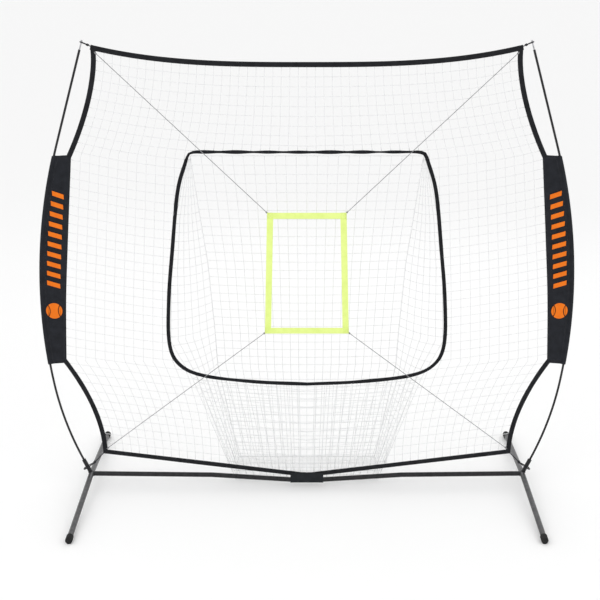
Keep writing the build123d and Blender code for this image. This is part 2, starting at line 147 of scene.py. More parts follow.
def ribbon(name, path, width, thick, twist=0.0, closed=False):
    """A band of webbing on a path, its flat face to the front but for a twist in radians."""
    path = np.asarray(path, float)
    tangent = tangents_of(path, closed)
    across = unit(np.cross(tangent, [0.0, -1.0, 0.0]))
    out = np.cross(tangent, across)
    twist = np.broadcast_to(twist, len(path))[:, None]
    across = across * np.cos(twist) + out * np.sin(twist)
    return loft_section(name, path, flat_section(width, thick), across, closed)


def cord(name, path, radius, sides=10, closed=False):
    """A round cord on a path."""
    path = np.asarray(path, float)
    tangent = tangents_of(path, closed)
    lead = np.where(np.abs(tangent[:, 1:2]) < 0.8, [[0.0, 1.0, 0.0]], [[1.0, 0.0, 0.0]])
    return loft_section(name, path, round_section(radius, sides), np.cross(tangent, lead), closed)


def strands(name, lines, radius):
    """Many thin four-sided strands in one mesh."""
    vertices, faces, start = [], [], 0
    corner = np.array([(1, 0), (0, 1), (-1, 0), (0, -1)]) * radius
    for line in lines:
        line = np.asarray(line, float)
        if len(line) < 2 or np.linalg.norm(line[-1] - line[0]) < 0.002:
            continue
        tangent = tangents_of(line)
        lead = np.where(np.abs(tangent[:, 1:2]) < 0.9, [[0.0, 1.0, 0.0]], [[1.0, 0.0, 0.0]])
        across = unit(np.cross(tangent, lead))
        out = np.cross(tangent, across)
        rings = line[:, None] + corner[:, :1] * across[:, None] + corner[:, 1:] * out[:, None]
        vertices.append(rings.reshape(-1, 3))
        for i in range(len(line) - 1):
            a, b = start + 4 * i, start + 4 * (i + 1)
            faces += [(a + k, a + (k + 1) % 4, b + (k + 1) % 4, b + k) for k in range(4)]
        last = start + 4 * (len(line) - 1)
        faces += [(start + 3, start + 2, start + 1, start), (last, last + 1, last + 2, last + 3)]
        start += 4 * len(line)
    return add_mesh(name, np.vstack(vertices), faces)


def smooth_curve(points, count):
    """A Catmull-Rom curve through points, evenly sampled by length."""
    points = np.asarray(points, float)
    padded = np.vstack([2 * points[0] - points[1], points, 2 * points[-1] - points[-2]])
    samples = []
    for i in range(len(points) - 1):
        p0, p1, p2, p3 = padded[i : i + 4]
        for t in np.linspace(0, 1, 24, endpoint=False):
            bend = (2 * p0 - 5 * p1 + 4 * p2 - p3) * t + (3 * p1 - p0 - 3 * p2 + p3) * t * t
            samples.append(0.5 * (2 * p1 + (p2 - p0 + bend) * t))
    return resample(np.vstack([samples, points[-1:]]), count)


def resample(path, count):
    """Evenly spaced points on a polyline."""
    length = np.concatenate([[0], np.cumsum(np.linalg.norm(np.diff(path, axis=0), axis=1))])
    at = np.linspace(0, length[-1], count)
    return np.column_stack([np.interp(at, length, path[:, k]) for k in range(path.shape[1])])


def face_outwards(piece):
    """Turn every face of a closed piece outwards."""
    mesh = bmesh.new()
    mesh.from_mesh(piece.data)
    bmesh.ops.recalc_face_normals(mesh, faces=mesh.faces)
    mesh.to_mesh(piece.data)
    mesh.free()
    return piece


def finish_piece(piece, material, nodes=(), body=BODY):
    """Give a piece its material and its body, and hide the CAD nodes that it stands for."""
    piece.data.materials.clear()
    piece.data.materials.append(material)
    if body:
        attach(piece, body)
    if nodes:
        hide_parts(*nodes)
    return piece


def upright(flat):
    """Put an (x, z) path in the plane of the net."""
    flat = np.asarray(flat, float)
    return np.column_stack([flat[:, 0], np.zeros(len(flat)), flat[:, 1]])


# ---------------------------------------------------------------- materials
FABRIC_GLOSS = 0.12


def new_material(name, rough, metal=0.0, sheen=0.0, gloss=0.5):
    """A material and its Principled shader."""
    material = bpy.data.materials.new(name)
    material.use_nodes = True
    shader = material.node_tree.nodes["Principled BSDF"]
    shader.inputs["Roughness"].default_value = rough
    shader.inputs["Metallic"].default_value = metal
    shader.inputs["Sheen Weight"].default_value = sheen
    shader.inputs["Specular IOR Level"].default_value = gloss
    return material, shader


def node(material, kind, **settings):
    """Add a shader node and set its values by name."""
    made = material.node_tree.nodes.new(kind)
    for key, value in settings.items():
        if key in made.inputs:
            made.inputs[key].default_value = value
        else:
            setattr(made, key, value)
    return made


def ramp(material, factor, low, high, start=0.3, end=0.7):
    """Colour that goes from low to high as a factor rises."""
    made = node(material, "ShaderNodeValToRGB")
    made.color_ramp.elements[0].position, made.color_ramp.elements[1].position = start, end
    made.color_ramp.elements[0].color = (*low, 1)
    made.color_ramp.elements[1].color = (*high, 1)
    material.node_tree.links.new(factor, made.inputs["Fac"])
    return made.outputs["Color"]


def bump(material, shader, height, strength, distance):
    """Use a height to bump the surface."""
    made = node(material, "ShaderNodeBump", Strength=strength, Distance=distance)
    material.node_tree.links.new(height, made.inputs["Height"])
    material.node_tree.links.new(made.outputs["Normal"], shader.inputs["Normal"])


def noise_of(material, coordinate, scale, detail=4.0):
    """Noise on a coordinate."""
    made = node(material, "ShaderNodeTexNoise", Scale=scale, Detail=detail)
    material.node_tree.links.new(coordinate, made.inputs["Vector"])
    return made.outputs["Fac"]


def wave_of(material, coordinate, scale, direction, distortion=0.0):
    """Parallel bands along one direction of a coordinate."""
    made = node(material, "ShaderNodeTexWave", Scale=scale, Distortion=distortion)
    made.bands_direction = direction
    material.node_tree.links.new(coordinate, made.inputs["Vector"])
    return made.outputs["Fac"]


def combine(material, first, second, operation):
    """Combine two values."""
    made = node(material, "ShaderNodeMath", operation=operation)
    material.node_tree.links.new(first, made.inputs[0])
    material.node_tree.links.new(second, made.inputs[1])
    return made.outputs[0]


def painted(name, low, high, rough, metal, grain=60.0, gloss=0.5):
    """Painted or bare metal: uneven tone, fine orange peel and scuffed roughness."""
    material, shader = new_material(name, rough, metal, 0.0, gloss)
    place = node(material, "ShaderNodeTexCoord").outputs["Object"]
    tone = noise_of(material, place, grain, 6.0)
    links = material.node_tree.links
    links.new(ramp(material, tone, low, high), shader.inputs["Base Color"])
    scuff = ramp(material, noise_of(material, place, grain * 3, 8.0), (rough * 0.8,) * 3, (rough * 1.35,) * 3)
    links.new(scuff, shader.inputs["Roughness"])
    bump(material, shader, noise_of(material, place, grain * 20), 0.12, 0.0004)
    return material


def woven(name, low, high, rough, pitch, sheen, coordinate="UV", strength=0.5):
    """Woven cloth: crossing yarns, uneven dye and a soft sheen."""
    material, shader = new_material(name, rough, 0.0, sheen, FABRIC_GLOSS)
    place = node(material, "ShaderNodeTexCoord").outputs[coordinate]
    first, second = ("X", "Y") if coordinate == "UV" else ("X", "Z")
    warp = wave_of(material, place, 0.314 / pitch, first, 0.6)
    weft = wave_of(material, place, 0.314 / pitch, second, 0.6)
    weave = combine(material, warp, weft, "MULTIPLY")
    mottle = noise_of(material, place, 35.0, 6.0)
    tone = combine(material, weave, mottle, "ADD")
    links = material.node_tree.links
    links.new(ramp(material, tone, low, high, 0.25, 1.1), shader.inputs["Base Color"])
    bump(material, shader, weave, strength, 0.0005)
    return material


def braided(name, low, high, rough, pitch, strength=0.6):
    """Braided cord: two sets of slanted yarns."""
    material, shader = new_material(name, rough, 0.0, 0.0, FABRIC_GLOSS)
    place = node(material, "ShaderNodeTexCoord").outputs["Object"]
    braid = wave_of(material, place, 0.314 / pitch, "DIAGONAL", 1.0)
    links = material.node_tree.links
    tone = combine(material, braid, noise_of(material, place, 90.0), "ADD")
    links.new(ramp(material, tone, low, high, 0.3, 1.3), shader.inputs["Base Color"])
    bump(material, shader, braid, strength, 0.0005)
    return material


gunmetal = painted("gunmetal", (0.070, 0.070, 0.072), (0.125, 0.125, 0.128), 0.34, 0.75)
black_gloss = painted("black_gloss", (0.006, 0.006, 0.007), (0.018, 0.018, 0.020), 0.30, 0.0, gloss=0.28)
pole_black = painted("pole_black", (0.006, 0.006, 0.007), (0.016, 0.016, 0.018), 0.38, 0.0, 40.0, 0.3)
bare_steel = painted("bare_steel", (0.32, 0.32, 0.33), (0.55, 0.55, 0.57), 0.30, 1.0, 120.0)
rubber = painted("rubber", (0.008, 0.008, 0.008), (0.020, 0.020, 0.020), 0.72, 0.0, 90.0, 0.25)
webbing = woven("black_webbing", (0.002, 0.002, 0.003), (0.020, 0.021, 0.024), 0.75, 0.0022, 0.02)
tape = woven("mouth_tape", (0.002, 0.002, 0.003), (0.018, 0.019, 0.022), 0.80, 0.0018, 0.02)
nylon_low, nylon_high = (0.004, 0.0045, 0.006), (0.020, 0.022, 0.028)
nylon = woven("sleeve_nylon", nylon_low, nylon_high, 0.62, 0.0016, 0.03, "Object", 0.35)
hook_strap = woven("strap_fabric", (0.006, 0.007, 0.008), (0.026, 0.029, 0.033), 0.85, 0.0014, 0.02)
lime = woven("lime_webbing", (0.66, 0.82, 0.20), (0.82, 0.95, 0.32), 0.55, 0.0024, 0.0)
orange = woven("orange_print", (0.70, 0.13, 0.006), (0.86, 0.20, 0.012), 0.50, 0.0016, 0.0, "Object", 0.3)
thread = braided("thread", (0.02, 0.02, 0.022), (0.09, 0.09, 0.10), 0.7, 0.0008)
lime_thread = braided("lime_thread", (0.45, 0.62, 0.05), (0.7, 0.88, 0.15), 0.6, 0.0008)
netting = braided("netting", (0.72, 0.725, 0.73), (0.88, 0.885, 0.89), 0.6, 0.0016)
elastic = braided("elastic", (0.15, 0.15, 0.155), (0.32, 0.32, 0.33), 0.6, 0.0016)
tie_cord = braided("tie_cord", (0.008, 0.008, 0.009), (0.040, 0.040, 0.045), 0.65, 0.0020)

# The CAD pieces that stay visible, by the start of their names
NODE_MATERIALS = {
    "leg_tube": gunmetal,
    "bar_stub": black_gloss,
    "outer_bar": black_gloss,
    "inner_bar": black_gloss,
    "pole_socket": black_gloss,
    "net_hook": black_gloss,
    "foot_cap": rubber,
    "pole_lower": pole_black,
    "pole_middle": pole_black,
    "pole_upper": pole_black,
    "pole_ferrules": bare_steel,
    "pole_tip": bare_steel,
    "snap_button": bare_steel,
}
for node_name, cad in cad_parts.items():
    for start, material in NODE_MATERIALS.items():
        if node_name.startswith(start):
            cad.data.materials.clear()
            cad.data.materials.append(material)


# ---------------------------------------------------------------- the net's edges
# How far the net's strands stop from the centre lines of the bands that they are sewn to
MOUTH_LAP, BORDER_LAP, SIDE_LAP = 0.0055, 0.0085, 0.008


def top_line(x):
    """Height of the top border."""
    return TOP_Z - TOP_SAG * (1 - np.abs(x / TOP_X) ** SAG_POWER)


def bottom_line(x):
    """Height of the bottom border."""
    return CENTRE_Z + (LOW_Z - CENTRE_Z) * np.abs(x) / LOW_X


def upper_side(z):
    """The upper side border, from the top corner to the sleeve."""
    return UPPER_X + UPPER_FLARE * np.maximum(0, (UPPER_TOP - z) / UPPER_DROP) ** UPPER_POWER


def lower_side(z):
    """The lower side border, from the bottom corner to the sleeve."""
    return LOWER_X + LOWER_FLARE * np.maximum(0, (z - LOWER_LOW) / LOWER_RISE) ** LOWER_POWER


def net_edge(z):
    """The net's edge at each height, inside the borders and the sleeve."""
    inner = smooth_curve(SLEEVE_INNER, 60)
    sleeve = np.interp(z, inner[:, 1], inner[:, 0])
    sleeve_low, sleeve_high = SLEEVE_INNER[0][1] - 0.001, SLEEVE_INNER[-1][1] + 0.001
    edge = np.where(z > sleeve_high, upper_side(z) - SIDE_LAP, sleeve)
    return np.where(z < sleeve_low, lower_side(z) - SIDE_LAP, edge)


def pole_path(start, end, count):
    """Points on the pole's centre line, with its headings, between two distances from the hub."""
    places, leans = [], []
    for distance in np.linspace(start, end, count):
        (x, z), lean, left = POLE_HUB, math.radians(POLE_LEAN), distance
        for straight, radius, turn in POLE_RUNS + [(POLE_TOP_RUN, None, 0)]:
            length = straight or radius * math.radians(turn)
            step = min(left, length)
            if straight:
                x, z = x + step * math.sin(lean), z + step * math.cos(lean)
            else:
                after = lean - step / radius
                x += radius * (math.cos(after) - math.cos(lean))
                z += radius * (math.sin(lean) - math.sin(after))
                lean = after
            left -= step
        places.append((x, 0.0, z))
        leans.append(lean)
    return np.array(places), np.array(leans)


def mouth_path(count=240):
    """The closed centre line of the pocket's mouth, in the net's plane."""
    side, corner = smooth_curve(MOUTH_SIDE, 90), smooth_curve(MOUTH_CORNER, 12)
    half = np.vstack([side, corner[1:], MOUTH_TOP])
    whole = np.vstack([half, (half * [-1, 1])[-2:0:-1]])
    return resample(np.vstack([whole, whole[:1]]), count + 1)[:-1]


mouth = mouth_path()
mouth_heading = unit(np.roll(mouth, -1, 0) - np.roll(mouth, 1, 0))
mouth_rim = mouth + np.column_stack([mouth_heading[:, 1], -mouth_heading[:, 0]]) * MOUTH_LAP


def in_mouth(x, z):
    """Whether a point lies inside the line where the net is sewn to the mouth's band."""
    ends = np.roll(mouth_rim, -1, 0)
    crosses = (mouth_rim[:, 1] > z) != (ends[:, 1] > z)
    slope = (ends[:, 0] - mouth_rim[:, 0]) / (ends[:, 1] - mouth_rim[:, 1] + 1e-12)
    at = mouth_rim[:, 0] + (z - mouth_rim[:, 1]) * slope
    return bool(np.count_nonzero(crosses & (x < at)) % 2)


def outside_mouth(line):
    """Cut a net line where it meets the mouth's band."""
    kept, current = [], []
    for first, second in zip(line[:-1], line[1:]):
        in_first, in_second = in_mouth(first[0], first[2]), in_mouth(second[0], second[2])
        if not in_first:
            current.append(first)
        if in_first != in_second:
            low, high = (first, second) if not in_first else (second, first)
            for _ in range(12):
                middle = (low + high) / 2
                low, high = (low, middle) if in_mouth(middle[0], middle[2]) else (middle, high)
            current.append(low)
            if in_second:
                kept.append(current)
                current = []
    if not in_mouth(line[-1][0], line[-1][2]):
        current.append(line[-1])
    kept.append(current)
    return [np.array(part) for part in kept if len(part) > 1]


# ---------------------------------------------------------------- net panel
def panel_point(u, v):
    """A point of the net panel: u runs side to side from -1 to 1, v from bottom to top."""
    x = u * 0.9
    for _ in range(3):
        z = bottom_line(x) + BORDER_LAP + v * (top_line(x) - bottom_line(x) - 2 * BORDER_LAP)
        x = u * net_edge(z)
    sway = 0.0012 * np.sin(23 * u + 5 * v) * np.sin(math.pi * v)
    return np.column_stack([x, sway, z])


columns, rows = 2 * round(0.91 / MESH_PITCH), round(1.66 / MESH_PITCH)
net_lines = []
for u in np.linspace(-1, 1, columns + 1)[1:-1]:
    v = np.linspace(0, 1, 2 * rows + 1)
    net_lines += outside_mouth(panel_point(np.full(len(v), u), v))
for v in np.linspace(0, 1, rows + 1)[1:-1]:
    u = np.linspace(-1, 1, 2 * columns + 1)
    line = panel_point(u, np.full(len(u), v))
    line[:, 1] += STRAND * 0.7
    net_lines += outside_mouth(line)
finish_piece(strands("front_netting", net_lines, STRAND), netting, ["front_net"])


# ---------------------------------------------------------------- ball pocket
def back_y(z):
    """How far back the pocket's back lies at a height."""
    return (POCKET_TOP - z) * POCKET_DEPTH / POCKET_TOP


def back_half(z):
    """Half the width of the pocket's back at a height."""
    table = np.array(BACK_HALF[::-1])
    return np.interp(z, table[:, 0], table[:, 1])


def surface_lines(point, across, up):
    """Both families of net lines on a surface, given by point(u, v) with u and v from 0 to 1."""
    lines = []
    for u in np.linspace(0, 1, across + 1):
        v = np.linspace(0, 1, 2 * up + 1)
        lines.append(point(np.full(len(v), u), v))
    for v in np.linspace(0, 1, up + 1):
        u = np.linspace(0, 1, 2 * across + 1)
        line = point(u, np.full(len(u), v))
        line[:, 1] += STRAND * 0.7
        lines.append(line)
    return lines


def back_point(u, v):
    """The pocket's back, whose cross lines droop between the seams."""
    z = POCKET_CLEAR + v * (POCKET_TOP - 0.004 - POCKET_CLEAR)
    side = 2 * u - 1
    droop = 0.012 * (1 - side**2) * np.sin(math.pi * v)
    z = z - droop
    return np.column_stack([side * back_half(z), back_y(z) + 0.003 * np.sin(math.pi * v) * (1 - side**2), z])


back = strands("pocket_back_netting", surface_lines(back_point, 22, 38), STRAND)
finish_piece(back, netting, ["pocket_back_net"])


def wall_point(side):
    """The pocket's side wall, from the mouth's edge to the back's seam."""
    table = np.array(WALL_FRONT)

    def point(u, v):
        z = WALL_LOW + v * WALL_TALL
        front_x = np.interp(z, table[:, 0], table[:, 1])
        front_y = np.interp(z, table[:, 0], table[:, 2])
        seam_x, seam_y = back_half(z), np.maximum(back_y(z), front_y + 0.001)
        x = front_x + u * (seam_x - front_x)
        y = front_y + u * (seam_y - front_y)
        droop = 0.010 * np.sin(math.pi * u) * np.sin(math.pi * v)
        return np.column_stack([side * x, y, z - droop])

    return point


for side, name in ((1, "right"), (-1, "left")):
    wall = strands(f"pocket_wall_{name}", surface_lines(wall_point(side), 6, 38), STRAND)
    finish_piece(wall, netting, [f"pocket_side_net_{name}"])


def apron_point(u, v):
    """The pocket's front, from the ground up to the lower edge of the mouth."""
    side = 2 * u - 1
    head_x = side * APRON_HEAD_HALF
    lower = mouth[mouth[:, 1] < MOUTH_SIDE[3][1]]
    order = np.argsort(lower[:, 0])
    head_z = np.interp(head_x, lower[order, 0], lower[order, 1])
    x = side * APRON_FOOT_HALF + v * (head_x - side * APRON_FOOT_HALF)
    z = POCKET_CLEAR + v * (head_z - POCKET_CLEAR)
    y = APRON_FOOT_Y + v * (APRON_HEAD_Y - APRON_FOOT_Y)
    return np.column_stack([x, y + 0.008 * np.sin(math.pi * v), z])


apron = strands("pocket_apron_netting", surface_lines(apron_point, 22, 12), STRAND)
finish_piece(apron, netting, ["pocket_front_net"])


def floor_point(u, v):
    """The pocket's floor, just clear of the ground."""
    y = APRON_FOOT_Y + FLOOR_EDGE + v * (back_y(0) - APRON_FOOT_Y - 2 * FLOOR_EDGE)
    return np.column_stack([(2 * u - 1) * FLOOR_HALF, y, np.full(len(y), POCKET_CLEAR)])


floor_net = strands("pocket_floor_netting", surface_lines(floor_point, 17, 6), STRAND)
finish_piece(floor_net, netting, ["pocket_floor_net"])

seam_cords = []
heights = np.linspace(WALL_LOW, 1.42, 60)
for side in (-1, 1):
    seam_cords.append(np.column_stack([side * back_half(heights), back_y(heights), heights]))
hem_x = np.linspace(-BACK_HALF[-1][1], BACK_HALF[-1][1], 20)
for y in (APRON_FOOT_Y + 0.002, back_y(0.006)):
    hem = np.column_stack([hem_x, np.full(len(hem_x), y), np.full(len(hem_x), POCKET_CLEAR + 0.001)])
    seam_cords.append(hem)
finish_piece(strands("pocket_seams", seam_cords, 0.0019), netting)

# ---------------------------------------------------------------- mouth band and borders
turn = np.linspace(0, 2 * math.pi, len(mouth), endpoint=False)
top_share = np.clip((mouth[:, 1] - 1.36) / 0.06, 0, 1)
mouth_twist = 0.16 * np.sin(9 * turn) + 0.10 * np.sin(23 * turn + 1)
mouth_twist -= top_share * (0.55 + 0.30 * np.sin(31 * turn))
band = ribbon("mouth_band", upright(mouth), 0.0155, 0.0024, twist=mouth_twist, closed=True)
finish_piece(band, tape, ["pocket_ring"])


def sew(name, paths, yarn, body=BODY, spacing=0.0045, length=0.0028, lift=0.0014):
    """Short stitches just in front of a band, along (x, z) paths."""
    dashes = []
    for path in paths:
        path = np.asarray(path, float)
        total = np.sum(np.linalg.norm(np.diff(path, axis=0), axis=1))
        fine = resample(path, max(3, int(total / spacing)) + 1)
        for here, after in zip(fine[:-1], fine[1:]):
            there = here + (after - here) * min(1.0, length / spacing)
            dashes.append(np.array([[here[0], -lift, here[1]], [there[0], -lift, there[1]]]))
    finish_piece(strands(name, dashes, STITCH), yarn, body=body)


def border(name, node_name, line):
    """A webbing border on an (x, z) line. Gives the lines of its two stitch rows."""
    ripple = 0.05 * np.sin(np.linspace(0, 19, len(line)))
    made = ribbon(name, upright(line), WEB_WIDTH, WEB_THICK, twist=ripple)
    finish_piece(made, webbing, [node_name])
    flat = tangents_of(line)
    beside = np.column_stack([-flat[:, 1], flat[:, 0]])
    return [line + beside * reach for reach in (-0.0075, 0.0075)]


stitch_paths = []
x = np.linspace(-0.819, 0.819, 140)
stitch_paths += border("top_webbing", "border_top", np.column_stack([x, top_line(x)]))
x = np.linspace(-0.861, 0.861, 141)
stitch_paths += border("bottom_webbing", "border_bottom", np.column_stack([x, bottom_line(x)]))
for side, name in ((1, "right"), (-1, "left")):
    z = np.linspace(1.422, 1.846, 50)
    upper = np.column_stack([side * upper_side(z), z])
    stitch_paths += border(f"upper_webbing_{name}", f"border_upper_{name}", upper)
    z = np.linspace(0.154, 0.574, 50)
    lower = np.column_stack([side * lower_side(z), z])
    stitch_paths += border(f"lower_webbing_{name}", f"border_lower_{name}", lower)
sew("border_stitches", stitch_paths, thread)


# ---------------------------------------------------------------- side sleeves and their print
CHANNEL, CHANNEL_SEAM, PLY = 0.0085, 0.016, 0.0011
# Across a sleeve: shares of its width, and how thick it is there, up to the doubled hem
PANEL = [(0.35, 1), (0.6, 1), (0.85, 1), (0.90, 1.5), (0.97, 1.6), (1.0, 0.7)]


def sleeve_cloth(name, side):
    """A nylon sleeve: a channel on the pole and a flat double panel with a hem."""
    stations, arc = 90, 14
    centre, _ = pole_path(SLEEVE_FROM, SLEEVE_TO, stations)
    inner = smooth_curve(SLEEVE_INNER, 200)
    outline = []
    for place, share in zip(centre, np.linspace(0, 1, stations)):
        z_inner = SLEEVE_INNER[0][1] + (SLEEVE_INNER[-1][1] - SLEEVE_INNER[0][1]) * share
        reach_x = np.interp(z_inner, inner[:, 1], inner[:, 0])
        inward = np.array([reach_x - place[0], 0, z_inner - place[2]])
        width = np.linalg.norm(inward)
        inward /= width
        pucker = 0.0011 * math.sin(31 * share + 0.5) + 0.0007 * math.sin(77 * share)
        ring = []
        for a in np.linspace(0.16 * math.pi, 1.84 * math.pi, arc):
            ring.append(place + CHANNEL * (inward * math.cos(a) - np.array([0, math.sin(a), 0])))
        panel = [(CHANNEL_SEAM, PLY)] + [(reach * width, depth * PLY) for reach, depth in PANEL]
        for way, places in ((1, panel), (-1, panel[::-1])):
            for at, depth in places:
                wave = pucker * math.sin(math.pi * at / width)
                ring.append(place + inward * at + np.array([0, way * depth + wave, 0]))
        outline.append(ring)
    rings = np.array(outline) * [side, 1, 1]
    sides = rings.shape[1]
    faces = []
    for i in range(stations - 1):
        for k in range(sides):
            m = (k + 1) % sides
            corners = (i * sides + k, (i + 1) * sides + k, (i + 1) * sides + m, i * sides + m)
            faces.append(corners if side > 0 else corners[::-1])
    for ring, order in ((0, 1), (stations - 1, -1)):
        cap = [ring * sides + k for k in range(sides)][:: order * side]
        faces.append(cap)
    return face_outwards(add_mesh(name, rings.reshape(-1, 3), faces))


PRINT_FRONT, PRINT_REAR = -0.0028, -0.0018


def print_plate(name, shapes, side):
    """Printed shapes: thin plates just in front of the sleeve, each a list of (x, z) corners."""
    vertices, faces = [], []
    for shape in shapes:
        start, count = len(vertices), len(shape)
        vertices += [(side * px, y, pz) for y in (PRINT_FRONT, PRINT_REAR) for px, pz in shape]
        faces.append(range(start, start + count))
        faces.append(range(start + 2 * count - 1, start + count - 1, -1))
        for k in range(count):
            m = (k + 1) % count
            faces.append((start + k, start + count + k, start + count + m, start + m))
    return face_outwards(add_mesh(name, vertices, faces, smooth=False))


def sleeve_frame(z):
    """The middle of the sleeve's flat panel at a height, and its half-width."""
    centre, _ = pole_path(SLEEVE_FROM, SLEEVE_TO, 120)
    outer = np.interp(z, centre[:, 2], centre[:, 0]) - 0.010
    inner = smooth_curve(SLEEVE_INNER, 60)
    inside = np.interp(z, inner[:, 1], inner[:, 0]) + 0.012
    return (outer + inside) / 2, (outer - inside) / 2


def sleeve_motif():
    """A generic print: a column of slanted bars above a ball with two curved seams."""
    shapes = []
    bars, lowest, pitch, bar_middle = 10, 0.885, 0.041, 0.018
    rise, tall, bar_share = 0.016, 0.019, 0.66
    for low in lowest + pitch * np.arange(bars):
        middle, half = sleeve_frame(low + bar_middle)
        wide = half * bar_share
        corners = [(middle - wide, low), (middle + wide, low + rise)]
        shapes.append(corners + [(middle + wide, low + rise + tall), (middle - wide, low + tall)])
    ball_z, ball_share, gap = 0.79, 0.92, 0.0018
    seam_half, seam_out, seam_depth = 1.02, 1.22, 0.72
    middle, half = sleeve_frame(ball_z)
    radius = half * ball_share
    seam_turns = np.linspace(-seam_half, seam_half, 31)
    seam_x = radius * (seam_out - seam_depth * np.cos(seam_turns))
    seam = np.column_stack([seam_x, radius * np.sin(seam_turns)])
    seam = seam[np.linalg.norm(seam, axis=1) < radius]
    reach = math.atan2(seam[-1][1], seam[-1][0])
    rim = np.linspace(reach, -reach, 18)
    for sign in (-1, 1):
        cap = [(middle + sign * (px + gap), ball_z + pz) for px, pz in seam]
        cap += [(middle + sign * radius * math.cos(a), ball_z + radius * math.sin(a)) for a in rim]
        shapes.append(cap)
    over = np.linspace(reach + 0.1, math.pi - reach - 0.1, 18)
    body = [(middle + px - gap, ball_z + pz) for px, pz in seam]
    body += [(middle + radius * math.cos(a), ball_z + radius * math.sin(a)) for a in over]
    body += [(middle - px + gap, ball_z + pz) for px, pz in seam[::-1]]
    body += [(middle + radius * math.cos(a), ball_z - radius * math.sin(a)) for a in over[::-1]]
    shapes.append(body)
    return shapes


for side, name in ((1, "right"), (-1, "left")):
    sleeve = sleeve_cloth(f"sleeve_cloth_{name}", side)
    finish_piece(sleeve, nylon, [f"side_sleeve_{name}"])
    finish_piece(print_plate(f"sleeve_print_{name}", sleeve_motif(), side), orange)

# Stitch rows on the sleeves: along the channel and the inner edge, and across each end
sleeve_rows = []
for side in (-1, 1):
    centre, leans = pole_path(SLEEVE_FROM + 0.006, SLEEVE_TO - 0.006, 90)
    inner_edge = smooth_curve(SLEEVE_INNER, 90)
    for offset in (0.0135, 0.0165):
        row = np.column_stack([centre[:, 0] - offset * np.cos(leans), centre[:, 2] + offset * np.sin(leans)])
        sleeve_rows.append(row * [side, 1])
    sleeve_rows.append((inner_edge[2:-2] + [0.006, 0]) * [side, 1])
    for z in (0.572, 0.577, 1.417, 1.422):
        middle, half = sleeve_frame(z)
        sleeve_rows.append(np.array([(middle - half + 0.002, z), (middle + half - 0.004, z)]) * [side, 1])
sew("sleeve_stitches", sleeve_rows, thread, spacing=0.0042, length=0.0027, lift=0.0024)

# ---------------------------------------------------------------- strap round the bar and the border
WRAP_HALF, WRAP_RADIUS, WRAP_MIDDLE_Z, WRAP_PLY = 0.070, 0.0118, 0.028, 0.0010
WRAP_EDGE, WRAP_TOP = 0.0030, 0.0605
WRAP_SWELL, WRAP_WAVES = 0.012, 140


def wrap_section():
    """The strap's closed section, (y, z): round the bar and up both sides of the border."""
    turns = np.linspace(-0.12 * math.pi, 1.12 * math.pi, 26)
    loop = [(-WRAP_RADIUS * math.cos(a), WRAP_MIDDLE_Z - WRAP_RADIUS * math.sin(a)) for a in turns]
    profile = resample(np.array([(-WRAP_EDGE, WRAP_TOP)] + loop + [(WRAP_EDGE, WRAP_TOP)]), 40)
    lean_out = unit(np.column_stack([-np.gradient(profile[:, 1]), np.gradient(profile[:, 0])]))
    return np.vstack([profile + lean_out * WRAP_PLY, (profile - lean_out * WRAP_PLY)[::-1]])


def wrap_strap(name):
    """The strap that ties the bottom border to the bar."""
    section = wrap_section()
    places, sides = np.linspace(-WRAP_HALF, WRAP_HALF, 30), len(section)
    vertices, faces, uvs = [], [], []
    for x in places:
        swell = 1 + WRAP_SWELL * math.sin(WRAP_WAVES * x)
        vertices += [(x, y * swell, z) for y, z in section]
    for i, (here, after) in enumerate(zip(places[:-1], places[1:])):
        for k in range(sides):
            m = (k + 1) % sides
            faces.append((i * sides + k, i * sides + m, (i + 1) * sides + m, (i + 1) * sides + k))
            low, high = k * 0.002, m * 0.002
            uvs += [(here, low), (here, high), (after, high), (after, low)]
    for i, flip in ((0, 1), (len(places) - 1, -1)):
        for k in range(sides // 2 - 1):
            first, last = i * sides + k, (i + 1) * sides - 1 - k
            faces.append((first, first + 1, last - 1, last)[::-flip])
            uvs += [(0, 0)] * 4
    return face_outwards(add_mesh(name, vertices, faces, uvs))


strap = wrap_strap("centre_strap")
finish_piece(strap, hook_strap, ["centre_wrap"])


# ---------------------------------------------------------------- strike-zone target
def target_band(name, first, second, y):
    """One webbing of the target, between two (x, z) places."""
    path = resample(np.array([first, second], float), 26)
    made = ribbon(name, upright(path) + [0, y, 0], TARGET["web"], TARGET_LAYER)
    return finish_piece(made, lime, body="target")


inset = TARGET["web"] / 2
top_z, low_z = TARGET["top"] - inset, TARGET["low"] + inset
front_y, rear_y = TARGET_Y - 0.0008, TARGET_Y + 0.0008
top_band = target_band("target_top", (-TARGET["top_half"], top_z), (TARGET["top_half"], top_z), front_y)
target_band("target_bottom", (-TARGET["low_half"], low_z), (TARGET["low_half"], low_z), front_y)
for side, name in ((1, "right"), (-1, "left")):
    first = (side * (TARGET["low_half"] - inset), TARGET["low"])
    second = (side * (TARGET["top_half"] - inset), TARGET["top"])
    target_band(f"target_side_{name}", first, second, rear_y)
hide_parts("target_frame")

# A stitched square with a cross in each corner of the target
CROSS_MARGIN = 0.003
crosses = []
for side in (-1, 1):
    for z, half_width in ((top_z, TARGET["top_half"]), (low_z, TARGET["low_half"])):
        cx, r = side * (half_width - inset), inset - CROSS_MARGIN
        square = [(cx - r, z - r), (cx + r, z - r), (cx + r, z + r), (cx - r, z + r), (cx - r, z - r)]
        crosses += [np.array(square[k : k + 2]) for k in range(4)]
        crosses += [np.array([square[0], square[2]]), np.array([square[1], square[3]])]
in_front = 0.0017 - TARGET_Y
sew("target_stitches", crosses, lime_thread, "target", 0.0032, 0.0022, in_front)

